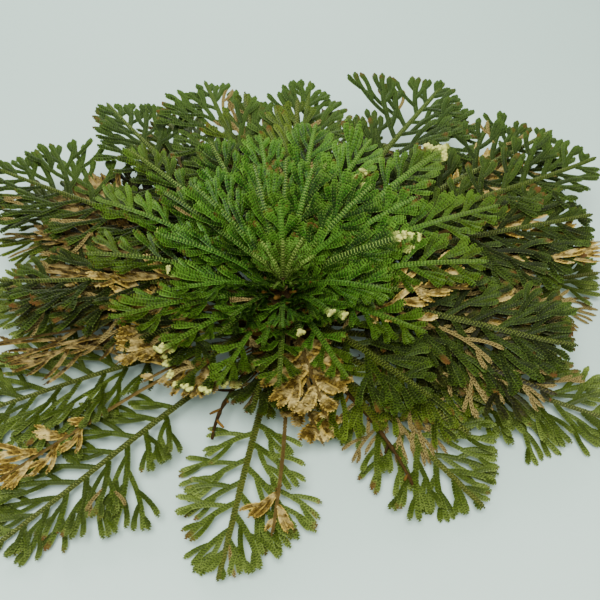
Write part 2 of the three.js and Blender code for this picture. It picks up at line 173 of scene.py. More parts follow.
def grown(name, parts, finish, slot, *nodes):
    """A mesh object of some parts, with its marks, that stands for CAD nodes and rides on the body.

    Triangles that a pole has drawn together are left out. Its map gives each of the others one half
    of a square in a grid of squares, so none overlap.
    """
    points, faces, mark = join(parts)
    first, second, third = points[faces].transpose(1, 0, 2)
    faces = faces[np.linalg.norm(np.cross(second - first, third - first), axis=1) > LEAST_FACE]
    mesh = bpy.data.meshes.new(name)
    mesh.vertices.add(len(points))
    mesh.vertices.foreach_set("co", (points * MM).astype(np.float32).ravel())
    mesh.loops.add(faces.size)
    mesh.loops.foreach_set("vertex_index", faces.astype(np.int32).ravel())
    mesh.polygons.add(len(faces))
    mesh.polygons.foreach_set("loop_start", np.arange(0, faces.size, 3, dtype=np.int32))
    mesh.update()
    mesh.polygons.foreach_set("use_smooth", np.ones(len(faces), bool))
    for title, values in (("scale", mark[:, :3]), ("growth", mark[:, 3:])):
        colours = np.ones((len(points), 4), np.float32)
        colours[:, :values.shape[1]] = values
        layer = mesh.color_attributes.new(title, "FLOAT_COLOR", "POINT")
        layer.data.foreach_set("color", colours.ravel())
    across = math.ceil(math.sqrt(len(faces) / 2))
    cell = np.arange(len(faces)) // 2
    corners = SQUARE_HALVES[np.arange(len(faces)) % 2]
    corners = (corners + np.stack([cell % across, cell // across], axis=1)[:, None, :]) / across
    baked = mesh.uv_layers.new(name="OFBake")
    baked.data.foreach_set("uv", corners.astype(np.float32).ravel())
    piece = bpy.data.objects.new(name, mesh)
    bpy.context.scene.collection.objects.link(piece)
    piece.data.materials.append(finish.material)
    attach(piece, "root")
    if nodes:
        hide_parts(*nodes)
    return piece


class Socket:
    """A shader socket. Sums, differences and products of sockets and numbers add Math nodes."""

    def __init__(self, finish, socket):
        self.finish = finish
        self.socket = socket

    def maths(self, operation, first, second):
        """The result of a Math node."""
        return self.finish.node("ShaderNodeMath", {"operation": operation}, {0: first, 1: second})

    def __add__(self, other):
        return self.maths("ADD", self, other)

    def __radd__(self, other):
        return self.maths("ADD", other, self)

    def __sub__(self, other):
        return self.maths("SUBTRACT", self, other)

    def __rsub__(self, other):
        return self.maths("SUBTRACT", other, self)

    def __mul__(self, other):
        return self.maths("MULTIPLY", self, other)

    def __rmul__(self, other):
        return self.maths("MULTIPLY", other, self)


def paint(code):
    """A colour written as six sRGB hex digits, in Blender's linear red, green, blue and alpha."""
    shares = [int(code[k:k + 2], 16) / 255 for k in (0, 2, 4)]
    linear = [s / 12.92 if s <= 0.04045 else ((s + 0.055) / 1.055) ** 2.4 for s in shares]
    return (*linear, 1.0)


class Finish:
    """A material of one Principled shader, with its other nodes added by type."""

    def __init__(self, name, **constants):
        self.material = bpy.data.materials.new(name)
        self.material.use_nodes = True
        self.tree = self.material.node_tree
        self.shader = self.tree.nodes["Principled BSDF"]
        for socket, value in constants.items():
            self.shader.inputs[socket.replace("_", " ")].default_value = value

    def node(self, kind, settings, sockets, output=0):
        """Adds a node: its settings first, then the values or links of its sockets."""
        node = self.tree.nodes.new(kind)
        for key, value in settings.items():
            setattr(node, key, value)
        for key, value in sockets.items():
            self.feed(node.inputs[key], value)
        return Socket(self, node.outputs[output])

    def feed(self, target, value):
        """Links a socket to the target, or sets the target to a value."""
        if isinstance(value, Socket):
            self.tree.links.new(value.socket, target)
        else:
            target.default_value = value

    def shade(self, **sockets):
        """Links or sets sockets of the Principled shader."""
        for name, value in sockets.items():
            self.feed(self.shader.inputs[name.replace("_", " ")], value)

    def place(self):
        """A point's own coordinates in its piece, in metres."""
        return self.node("ShaderNodeTexCoord", {}, {}, "Object")

    def along(self, axis):
        """How far a point lies along X, Y or Z, in metres."""
        return self.node("ShaderNodeSeparateXYZ", {}, {0: self.place()}, axis)

    def noise(self, scale, detail=2.0, roughness=0.5, stretch=(1, 1, 1)):
        """Noise from 0 to 1 in object space; scale is in features a metre."""
        spot = self.node("ShaderNodeMapping", {}, {"Vector": self.place(), "Scale": stretch})
        shape = {"Vector": spot, "Scale": scale, "Detail": detail, "Roughness": roughness}
        return self.node("ShaderNodeTexNoise", {}, shape)

    def read(self, *names):
        """Some of a piece's marks as sockets. The fourth channel of an attribute is its alpha."""
        sockets = []
        for title, channel in (MARKS[name] for name in names):
            if channel == "Alpha":
                sockets.append(self.node("ShaderNodeAttribute", {"attribute_name": title}, {}, channel))
            else:
                colour = self.node("ShaderNodeAttribute", {"attribute_name": title}, {})
                sockets.append(self.node("ShaderNodeSeparateColor", {}, {0: colour}, channel))
        return sockets

    def ease(self, value, low, high):
        """0 below low, 1 above high and smooth between them."""
        limits = {"Value": value, "From Min": low, "From Max": high}
        return self.node("ShaderNodeMapRange", {"interpolation_type": "SMOOTHSTEP"}, limits)

    def mix(self, share, first, second):
        """The first colour turned to the second by a share."""
        return self.node("ShaderNodeMix", {"data_type": "RGBA"}, {0: share, 6: first, 7: second}, 2)

    def bump(self, height, strength, distance):
        """A normal that follows a height; distance is how high 1 stands, in metres."""
        relief = {"Height": height, "Strength": strength, "Distance": distance}
        return self.node("ShaderNodeBump", {}, relief)


def bark_finish():
    """Dark brown bark in lighter patches, with paler fibres, and tan where it is broken and dry."""
    dark, brown, fibrous, broken = map(paint, ("120a02", "281c08", "524014", "8c6828"))
    bark = Finish("bark", Specular_IOR_Level=0.12)
    dry, = bark.read("dry")
    fibre = bark.noise(900, 4.0, 0.6, (1, 1, 0.25))
    patch = bark.noise(140, 3.0, 0.55)
    colour = bark.mix(bark.ease(patch, 0.35, 0.7), dark, brown)
    colour = bark.mix(bark.ease(fibre, 0.48, 0.75) * 0.5, colour, fibrous)
    colour = bark.mix(dry, colour, broken)
    relief = bark.bump(fibre + patch * 0.6, 0.6, 0.0006)
    bark.shade(Base_Color=colour, Roughness=0.72 + 0.2 * patch, Normal=relief)
    return bark


def crown_body():
    """The stock: its outline turned about the axis, with lobes and ridges added to the radius."""
    height = np.linspace(0, 1, CROWN_ROWS) ** 0.9 * CROWN_HEIGHTS[-1]
    radius = np.interp(height, CROWN_HEIGHTS, CROWN_RADII) - CROWN_INSET
    angle = 2 * np.pi * np.arange(CROWN_COLUMNS) / CROWN_COLUMNS
    z, a = np.meshgrid(height, angle, indexing="ij")
    lobes = 0.5 * np.sin(5 * a + 0.22 * z) + 0.35 * np.sin(11 * a - 0.3 * z) + 0.3 * np.sin(1.4 * z + 3 * a)
    r = np.maximum(radius[:, None] + lobes * np.clip(radius / 6, 0, 1)[:, None], 0.0)
    points = np.stack([r * np.cos(a), r * np.sin(a), z], axis=-1).reshape(-1, 3)
    foot = np.zeros((CROWN_COLUMNS, 3))
    top = foot + [0, 0, CROWN_HEIGHTS[-1]]
    points = np.concatenate([foot, points, top])
    return points, grid_faces(CROWN_ROWS + 2, CROWN_COLUMNS), marks(len(points))


def stub(k):
    """The broken base of a lost frond: a short knobbly tube that leans out and up."""
    height = LOWEST_STUB + STUB_RISE * (k + 0.5) / STUBS
    heading = math.degrees(k * GOLDEN_ANGLE)
    radius = np.interp(height, CROWN_HEIGHTS, CROWN_RADII)
    length = STUB_LENGTH + 1.6 * draw(k, 71)
    foot = out_at(heading, radius - 2.0, height - 0.8)
    tip = out_at(heading, radius + length * 0.55, height + length * 0.75, 0.8 * draw(k, 72))
    path = foot + (tip - foot) * np.linspace(0, 1, 4)[:, None]
    wide = STUB_RADIUS + 0.3 * draw(k, 73)
    return tube(path, wide * STUB_SHAPE, 6, dry=0.25 + 0.25 * draw(k, 74))


def root(k):
    """A root on the surface, tapering out from under the stock."""
    heading = (360 * (k + 0.3 * draw(k, 60))) / ROOTS
    reach = ROOT_REACH + 3 * draw(k, 61)
    path = through([
        out_at(heading, 8, 3.6),
        out_at(heading, 0.6 * reach, 2.4, 1.5),
        out_at(heading, reach, 0.9, -1),
    ], ROOT_STEPS)
    wave = np.arange(ROOT_STEPS)
    path[:, 2] += 0.25 * np.sin(1.7 * wave + k)
    radius = np.linspace(*ROOT_RADII, ROOT_STEPS) * (1 + 0.12 * np.sin(2.3 * wave + k))
    return tube(path, radius, 8)


def rootlet(k):
    """A wiry rootlet that leaves the foot of the stock and wanders over the surface."""
    heading = 360 * k / ROOTLETS + 5 * draw(k, 62)
    reach = ROOTLET_REACH + 6 * draw(k, 63)
    aside = 4 * draw(k, 64)
    path = through([
        out_at(heading, 11, 3.5),
        out_at(heading, 16, 1.3 + 0.5 * draw(k, 65), 0.3 * aside),
        out_at(heading, reach, 0.5, aside),
        out_at(heading, reach + 4, 0.45, aside + 3 * draw(k, 66)),
    ], ROOTLET_STEPS)
    return tube(path, np.linspace(*ROOTLET_RADII, ROOTLET_STEPS), 4, dry=0.2 + 0.2 * draw(k, 67))


def dead_stem(number, heading, reach, tip_height, bend):
    """A bare dead stem: a knobbly tube through its four places, with broken side twigs."""
    foot_radius, foot_height = DEAD_STEM_FOOT
    crest = foot_height + 3
    path = through([
        out_at(heading, foot_radius, foot_height),
        out_at(heading, 0.38 * reach, crest - 0.6, 0.3 * bend),
        out_at(heading, 0.68 * reach, crest - 1.2, bend),
        out_at(heading, reach, tip_height, 0.6 * bend),
    ], STEM_STEPS)
    step = np.arange(STEM_STEPS)
    knobs = 1 + 0.20 * np.sin(2.1 * step + number) + 0.2 * draw(step, 80 + number)
    radius = DEAD_STEM_RADIUS * knobs * (1 - 0.55 * step / STEM_STEPS)
    parts = [tube(path, radius, 8, dry=0.15 * (1 + draw(number, 81)))]
    for k in range(FIRST_TWIG, STEM_STEPS - 2, TWIG_EVERY):
        side = 1 if (k // TWIG_EVERY) % 2 else -1
        ahead = path[k + 1] - path[k]
        ahead /= np.linalg.norm(ahead)
        left = np.cross([0, 0, 1.0], ahead)
        long = TWIG_LENGTH + 2.6 * draw(k + STEM_STEPS * number, 82)
        out = (0.55 * ahead + side * 0.8 * left + [0, 0, 0.25 * draw(k, 83)]) * long
        twig = path[k] + out * np.linspace(0, 1, 4)[:, None] ** [1, 1, 1.4]
        parts.append(tube(twig, TWIG_RADII, 5, dry=0.3 + 0.3 * draw(k + number, 84)))
    return join(parts)


bark = bark_finish()
stock = [crown_body(), *map(stub, range(STUBS)), *map(root, range(ROOTS)), *map(rootlet, range(ROOTLETS))]
dead_stems = [dead_stem(k, *stem) for k, stem in enumerate(DEAD_STEMS)]
grown("root_crown_stock", stock, bark, "root_crown", "root_crown")
grown("dead_stems", dead_stems, bark, "root_crown", "root_crown")

# ----------------------------------------
# Outer fronds: the oldest green fronds, flat sprays that lie out over the surface. Each is one
# grown body: a stalk, side branches by turns to the left and right, each forked into fingers, and
# all of it clad in four rows of small scale leaves, two at the sides and two along the top.
# ----------------------------------------

SEAT_INSET, SEAT_GAP = 0.99, 0.62  # where a stalk starts: just off the side of the stock
STALK_FOOT = 2.5  # and how far it goes on inwards from there
LENGTH_SLACK = 1.02  # a bowed stalk is this much longer than the straight line between its ends
FULL_WIDTH_REACH, LEAST_WIDTH = 0.8, 0.4  # a short frond is narrower, down to the least width
LOWEST_FREE, FLOOR_SHARE = 1.4, 0.22  # what lies lower than this keeps a share of its depth below it
CURL_RADIUS, CURL_WIDTH = 2.1, 4  # a rolled-up end, and how far to the side of the stalk it reaches
BLADE_END, LAST_BRANCH = 0.99, 0.975  # where a blade ends, and the last branch's place on it
LAST_FORK = 0.82  # the share of a stem past which no finger leaves it
LEAST_BRANCH = 2.4  # a shorter one isn't grown
NEVER = 99  # a length that no stem has
FINGER_SPARE = 0.6  # what each finger has beyond its share of the stem
TIP_WEDGE = 0.3  # how much further back, for each step aside, the fingers at a frond's end stop
WAVE_START, WAVE_RUN = 0.22, 0.68  # the stretch of a half wave that is a blade's outline
DRAW_STEP = 1.37  # moves the draws on from one finger of a stem to the next
SCALE_PITCH = 1.15  # from one scale leaf of a row to the next
CLOSING = 2.1  # how many pitches before its end a stem closes to a point
CORE_EVERY = 3  # stations from one ring of a stem's core to the next
CLUB_RUN = 7  # the last millimetres of a finger, in which it widens
STALK = 0.9  # the rank above which a stem is a stalk
CREAM_SHARE = 0.84  # how far out on a frond the fingers have cream ends
KNOB_RADIUS = 1.05
# The beads of a knob: how far behind its middle, how far aside and how large, in its radii.
KNOB_BEADS = np.array([[0.0, 0.1, 1.0], [0.9, 1.15, 0.85], [0.8, -1.05, 0.75]])
BEAD_ROWS, BEAD_COLUMNS = 5, 8
# A scale leaf's points: forward in pitches, outward in half widths, up in millimetres, how near
# its pale margin each lies, and how much nearer on a stalk. Near 0, at a scale's base under the
# one before, the finishes paint shade; near 1 lies the pale margin, partly painted highlight.
# The faces are for the left side.
SIDE_SCALE = np.array([
    [-0.32, 0.02, 0.06, 0.0, 0.0],
    [-0.06, 0.91, -0.28, 0.5, 0.0],
    [0.94, 1.02, -0.14, 1.0, 0.0],
    [0.92, 0.02, 0.28, 0.25, 0.5],
])
TOP_SCALE = np.array([
    [-0.42, 0.00, 0.10, 0.0, 0.0],
    [-0.30, 0.56, 0.02, 0.0, 0.0],
    [0.60, 0.66, 0.22, 0.75, 0.45],
    [0.88, 0.00, 0.50, 0.9, 0.3],
])
SCALE_FACES = np.array([[0, 2, 1], [0, 3, 2]])
CORE_RING = np.array([[0.5, 0.0], [0.0, 0.2], [-0.5, 0.0], [0.0, -0.28]])  # outward and up


class Frond:
    """One frond's stalk line and blade, in which stems are laid out flat before they are placed."""

    def __init__(self, tier, number, heading, reach):
        self.tier = tier
        self.number = number
        self.heading = math.radians(heading)
        self.reach = reach
        self.root = tier["root"]
        self.foot = SEAT_INSET * np.interp(self.root, CROWN_HEIGHTS, CROWN_RADII) + SEAT_GAP
        self.sweep = 0.03 * reach * draw(number, 1)
        self.tip_height = (
            tier["tip_height"]
            + tier["back_lift"] * math.sin(self.heading)
            + tier["droop"] * (1 - reach / tier["span"])
            + tier["stir"] * draw(number, 2)
        )
        self.rise = math.radians(tier["rise"])
        self.settle = math.radians(tier["settle"] + 2 * tier["stir"] * draw(number, 3))
        side_slope = math.atan(tier["back_lift"] / reach * math.cos(self.heading))
        self.roll = math.radians(tier["roll"]) + side_slope
        self.length = LENGTH_SLACK * math.hypot(reach - self.foot, self.tip_height - self.root)
        grown_up = min(reach / (FULL_WIDTH_REACH * tier["span"]), 1)
        self.half_width = tier["half_width"] * (LEAST_WIDTH + (1 - LEAST_WIDTH) * grown_up)
        self.cream = float(draw(number, 5) < 2 * tier["cream_share"] - 1)
        self.rolled_up = self.cream * tier["rolled_up"] * (1 + 0.3 * draw(number, 4))
        self.fringe = float(number in tier["fringed"])
        self.tint = 0.5 + 0.5 * draw(number, 6)

    def curl_end(self, along, across, lift):
        """The stalk's last few millimetres wrapped upwards round a small circle."""
        start = self.length - self.rolled_up
        turn = np.maximum(along - start, 0) / CURL_RADIUS * np.exp(-(across / CURL_WIDTH) ** 4)
        inside = CURL_RADIUS - lift
        rolled = turn > 0
        return (
            np.where(rolled, start + inside * np.sin(turn), along),
            np.where(rolled, CURL_RADIUS - inside * np.cos(turn), lift),
        )

    def place(self, along, across, lift):
        """Plan points set in space.

        The stalk is a cubic curve, its four handles weighted by Bernstein's polynomials. A point
        steps across it on the blade, which is rolled about the stalk and arched by the square of
        that step, and off it along the blade's normal; then all is turned to the frond's heading.
        What would come lower than a millimetre or so keeps only a share of its depth below that.
        """
        if self.rolled_up > 1:
            along, lift = self.curl_end(along, across, lift)
        foot = np.array([self.foot, 0.0, self.root])
        tip = np.array([self.reach, self.sweep, self.tip_height])
        third = np.linalg.norm(tip - foot) / 3
        near_foot = foot + third * np.array([math.cos(self.rise), 0, math.sin(self.rise)])
        near_tip = tip - third * np.array([math.cos(self.settle), 0, math.sin(self.settle)])
        near_tip[1] = self.sweep / 3
        t = (along / self.length)[:, None]
        line = (
            (1 - t) ** 3 * foot + 3 * t * (1 - t) ** 2 * near_foot
            + 3 * t ** 2 * (1 - t) * near_tip + t ** 3 * tip
        )
        ahead = (
            (1 - t) ** 2 * (near_foot - foot) + 2 * t * (1 - t) * (near_tip - near_foot)
            + t ** 2 * (tip - near_tip)
        )
        ahead /= np.linalg.norm(ahead, axis=1)[:, None]
        left = np.array([0, 1.0, 0]) - ahead * ahead[:, 1:2]
        left /= np.linalg.norm(left, axis=1)[:, None]
        upward = np.cross(ahead, left)
        rolled = left * math.cos(self.roll) + upward * math.sin(self.roll)
        normal = np.cross(ahead, rolled)
        rise = lift + self.tier["arch"] * across ** 2
        point = line + rolled * across[:, None] + normal * rise[:, None]
        cos, sin = math.cos(self.heading), math.sin(self.heading)
        below = np.minimum(point[:, 2] - LOWEST_FREE, 0)
        return np.stack([
            point[:, 0] * cos - point[:, 1] * sin,
            point[:, 0] * sin + point[:, 1] * cos,
            point[:, 2] - (1 - FLOOR_SHARE) * below,
        ], axis=1)


def arc(x, y, angle, bend, length, share):
    """Place and heading at a share of a stem that bends evenly, as an arc of a circle does."""
    bend = np.where(np.abs(bend) < 1e-4, 1e-4, bend)
    turned = angle + bend * share
    return (
        x + length * (np.sin(turned) - np.sin(angle)) / bend,
        y - length * (np.cos(turned) - np.cos(angle)) / bend,
        turned,
    )


def fork(stems, tier, stem, order, seed):
    """Adds a stem and the fingers that leave it by turns to the left and right.

    A finger ends about where its own stem does. It opens at an angle, then bends back a little.
    """
    stems.append(stem)
    x, y, lift, angle, bend, length, slope, curl, *_, dry, pale, share = stem
    if order > 2 or length < tier["fork_reach"][order - 1]:
        return
    start, step = tier["fork_start"][order - 1], tier["fork_step"] / length
    side = 1 if draw(seed, 11) > 0 else -1
    at = start + 0.05 * draw(seed, 12)
    while at < LAST_FORK:
        seed += DRAW_STEP
        fx, fy, heading = arc(x, y, angle, bend, length, at)
        opened = side * tier["open"] * (1 + 0.16 * draw(seed, 13))
        run = at * length
        long = (length - run) * (0.93 + 0.17 * draw(seed, 14)) + FINGER_SPARE
        died = max(dry, float(draw(seed, 15) > 1 - 2.2 * tier["dead_share"]))
        fork(stems, tier, (
            fx, fy, lift + slope * run + curl * run ** 2, heading + opened,
            -tier["straighten"] * opened, long, slope + 2 * curl * run + 0.14 * draw(seed, 16), curl,
            tier["finger"], tier["finger"] * tier["club"], 0.0, died, pale, share,
        ), order + 1, seed)
        side = -side
        at += step * (1 + 0.2 * draw(seed, 17))


def frond_stems(frond):
    """Rows of stems laid flat: x, y, lift, angle, bend, length, slope, curl, half width, tip
    half width, rank, dryness, paleness and the share of the frond where the stem leaves it."""
    tier, number, length = frond.tier, frond.number, frond.length
    blade_end = BLADE_END * length - 0.9 * frond.rolled_up
    first, last = tier["bare"] * length, LAST_BRANCH * blade_end
    count = int((last - first) / tier["branch_step"])
    finger, stalk, cream = tier["finger"], tier["stalk"], frond.cream
    stalk_end = stalk * (0.85 if frond.rolled_up > 1 else 0.62)
    run = 0.992 * length + STALK_FOOT
    stems = [(-STALK_FOOT, 0, 0, 0, 0, run, 0, 0, stalk, stalk_end, 1.0, 0, cream, 0)]
    widen = 1 + 0.1 * draw(number, 7)
    for i in range(count):
        t = (i + 0.5) / count
        if draw(number + 0.31 * i, 8) > 1 - 2 * tier["lost_share"]:
            continue
        side = 1 if (i + number) % 2 else -1
        x = first + (last - first) * (i + 0.5 + 0.22 * draw(number, 100 + i)) / count
        widest, narrowest = tier["spread"]
        lean = widest + (narrowest - widest) * t ** 0.85 + 4 * draw(number, 150 + i)
        lean = math.radians(lean)
        outline = math.sin(math.pi * (WAVE_START + WAVE_RUN * t)) ** 0.8
        uneven = 1 + tier["uneven"] * draw(number, 200 + i)
        wanted = widen * frond.half_width * outline * uneven / math.sin(lean)
        reach = min(wanted, (blade_end - x) / (math.cos(0.75 * lean) + TIP_WEDGE * math.sin(lean)))
        if reach < LEAST_BRANCH:
            continue
        dry = float(draw(number, 250 + i) > 1 - 1.2 * tier["dead_share"])
        curl = tier["curl"] * (1 + 0.6 * draw(number, 300 + i)) / reach
        slope = tier["louvre"] + 0.12 * draw(number, 350 + i)
        bend = -side * (tier["sway"] + 0.12 * draw(number, 400 + i))
        branch = (
            x, 0, tier["sunk"], side * (lean + 0.5 * tier["sway"]), bend, reach, slope, curl,
            tier["limb"], finger * tier["club"], 0.5, dry, cream, t,
        )
        fork(stems, tier, branch, 1, number + 0.731 * i)
    return np.array(stems, float)


def clad(frond):
    """A frond's stems as solid cores clad in scale leaves.

    Every stem has stations a pitch apart. At each stand four scale leaves, made from their few
    points by the stem's heading there, and every third one carries a ring of the core.
    """
    stems = frond_stems(frond)
    tier = frond.tier
    pitch = tier["pitch"]
    count = np.maximum(np.ceil(stems[:, 5] / pitch).astype(int), 2) + 1
    owner = np.repeat(np.arange(len(stems)), count)
    step = np.arange(len(owner)) - np.repeat(np.cumsum(count) - count, count)
    t = step / (count[owner] - 1)
    x, y, lift, angle, bend, length, slope, curl, wide, tip_wide, rank, dry, pale, share = stems[owner].T
    x, y, angle = arc(x, y, angle, bend, length, t)
    run = length * t
    steep = slope + 2 * curl * run
    lift = lift + slope * run + curl * run ** 2
    stalk = rank > STALK

    def last(millimetres, distance=run - length):
        """0 until so many millimetres before the end, then evenly up to 1."""
        return np.clip((distance + millimetres) / millimetres, 0, 1)

    closing = last(CLOSING * pitch)
    club = np.where(stalk, t, last(CLUB_RUN) ** 1.5)
    half = (wide + (tip_wide - wide) * club) * (1 - 0.55 * closing ** 2)
    half = half * (1 - tier["shrunk"] * dry) * np.where(stalk, 0.86 + 0.14 * np.clip(run / 15, 0, 1), 1)
    spot = np.arange(len(x)) + 1000.0 * frond.number
    tint = frond.tint + 0.45 * draw(owner + 50.0 * frond.number, 29)
    near_end = last(8, x - frond.length) * stalk * (frond.rolled_up > 1)
    finger_end = last(3) * ~stalk
    cream = np.maximum(pale * (share > CREAM_SHARE), frond.fringe)
    pale = np.clip(pale * near_end + finger_end * cream, 0, 1)
    # The core keeps a low edge mark, so it takes the painted shade where it shows between the scale leaves.
    growth = marks(len(x), edge=0.05, spot=0.5, rank=rank, tip=t, dry=dry, pale=pale, tint=tint)
    cos, sin = np.cos(angle), np.sin(angle)
    parts = []

    def scales(shape, side, shift, use, lit=1.0):
        """One row of scale leaves, set down at every station on one side."""
        lucky = draw(spot, use)
        forward = (shape[None, :, 0] + shift) * pitch * (1 + 0.12 * lucky[:, None])
        forward = forward * (1 - 0.55 * closing[:, None])
        outward = side * shape[None, :, 1] * half[:, None]
        upward = shape[None, :, 2] * (0.5 + 0.5 * half[:, None]) * (1 + 0.35 * draw(spot, use + 1)[:, None])
        upward = upward * tier["raised"]
        px = x[:, None] + forward * cos[:, None] - outward * sin[:, None]
        py = y[:, None] + forward * sin[:, None] + outward * cos[:, None]
        pz = lift[:, None] + upward + steep[:, None] * forward
        corners = shape.shape[0]
        placed = frond.place(px.ravel(), py.ravel(), pz.ravel())
        order = SCALE_FACES if side > 0 else SCALE_FACES[:, ::-1]
        indices = (order[None] + corners * np.arange(len(x))[:, None, None]).reshape(-1, 3)
        edge = shape[None, :, 3] * lit + shape[None, :, 4] * np.clip(rank - 0.4, 0, 1)[:, None] * lit
        mark = np.repeat(growth, corners, axis=0)
        mark[:, 0] = edge.ravel()
        mark[:, 1] = np.repeat(0.5 + 0.5 * lucky, corners)
        mark[:, 3] = np.repeat(np.where(stalk, t * 0.4, t), corners)
        parts.append((placed, indices, mark))

    stagger = tier["stagger"]
    scales(SIDE_SCALE, 1, 0, 21)
    scales(SIDE_SCALE, -1, stagger, 23)
    scales(TOP_SCALE, 1, stagger, 25, tier["top_light"])
    scales(TOP_SCALE, -1, 0, 27, tier["top_light"])

    end = step == count[owner] - 1
    kept = (step % CORE_EVERY == 0) | end | (near_end > 0)
    slim = (half * np.where(end, 0.4, 1 + 0.7 * near_end))[kept][:, None]
    px = x[kept][:, None] - CORE_RING[:, 0] * slim * sin[kept][:, None]
    py = y[kept][:, None] + CORE_RING[:, 0] * slim * cos[kept][:, None]
    pz = lift[kept][:, None] + CORE_RING[:, 1] * (0.5 + 0.5 * slim)
    placed = frond.place(px.ravel(), py.ravel(), pz.ravel())
    rings = np.arange(kept.sum())
    here = owner[kept]
    pairs = rings[:-1][here[:-1] == here[1:]]
    near = 4 * pairs[:, None] + np.arange(4)
    next_near = 4 * pairs[:, None] + (np.arange(4) + 1) % 4
    walls = np.stack([near, next_near + 4, next_near, near, near + 4, next_near + 4], axis=-1)
    begins = 4 * rings[np.r_[True, here[1:] != here[:-1]]][:, None]
    ends = 4 * rings[np.r_[here[1:] != here[:-1], True]][:, None]
    caps = np.concatenate([begins + [0, 1, 2], begins + [0, 2, 3], ends + [0, 2, 1], ends + [0, 3, 2]])
    parts.append((placed, np.concatenate([walls.reshape(-1, 3), caps]), np.repeat(growth[kept], 4, axis=0)))
    return join(parts + knobs(frond, stems))


def knobs(frond, stems):
    """The cream knobs of new growth: lumpy beads in threes at the ends of the stems that have them.

    A bead is a ball by latitude and longitude, swollen by a product of sines, set at a stem's end.
    """
    *_, rank, _, _, share = stems.T
    crowned = frond.cream * ((rank > STALK) | (share > 0.86)) + frond.fringe * (share > 0.3)
    ends = stems[(crowned > 0) & (stems[:, 5] > 3)]
    if len(ends) == 0:
        return []
    x, y, lift, angle, bend, length, slope, curl, _, _, rank, *_ = ends.T
    x, y, angle = arc(x, y, angle, bend, length, 0.97)
    lift = lift + slope * length + curl * length ** 2
    size = (np.where(rank > STALK, 1.0, 0.8) * KNOB_RADIUS)[:, None]
    back, aside, large = KNOB_BEADS.T
    cos, sin = np.cos(angle)[:, None], np.sin(angle)[:, None]
    x = (x[:, None] - (back * cos + aside * sin) * size).ravel()
    y = (y[:, None] - (back * sin - aside * cos) * size).ravel()
    lift, size = np.repeat(lift, len(KNOB_BEADS)), (large * size).ravel()
    size = size * (1 + 0.25 * draw(np.arange(len(size)) + frond.number, 31))
    latitude = np.linspace(-1, 1, BEAD_ROWS) * np.pi / 2
    longitude = 2 * np.pi * np.arange(BEAD_COLUMNS) / BEAD_COLUMNS
    up, around = np.meshgrid(latitude, longitude, indexing="ij")
    swell = 1 + 0.15 * np.sin(3 * around + frond.number) * np.cos(up)
    ball = np.stack([
        1.25 * swell * np.cos(up) * np.cos(around),
        swell * np.cos(up) * np.sin(around),
        0.7 * swell * np.sin(up),
    ], axis=-1).reshape(-1, 3)
    centres = (x, y, lift + 0.4 * size)
    flat = [(centre[:, None] + size[:, None] * ball[:, k]).ravel() for k, centre in enumerate(centres)]
    placed = frond.place(*flat)
    starts = len(ball) * np.arange(len(size))
    faces = (grid_faces(BEAD_ROWS, BEAD_COLUMNS) + starts[:, None, None]).reshape(-1, 3)
    # The edge mark rises from a bead's underside to its top, so the finish paints the underside in shade.
    edge = np.tile(0.5 + 0.5 * ball[:, 2], len(size))
    return [(placed, faces, marks(len(placed), edge=edge, spot=0.5, rank=0.5, tip=1.0, pale=1.0))]


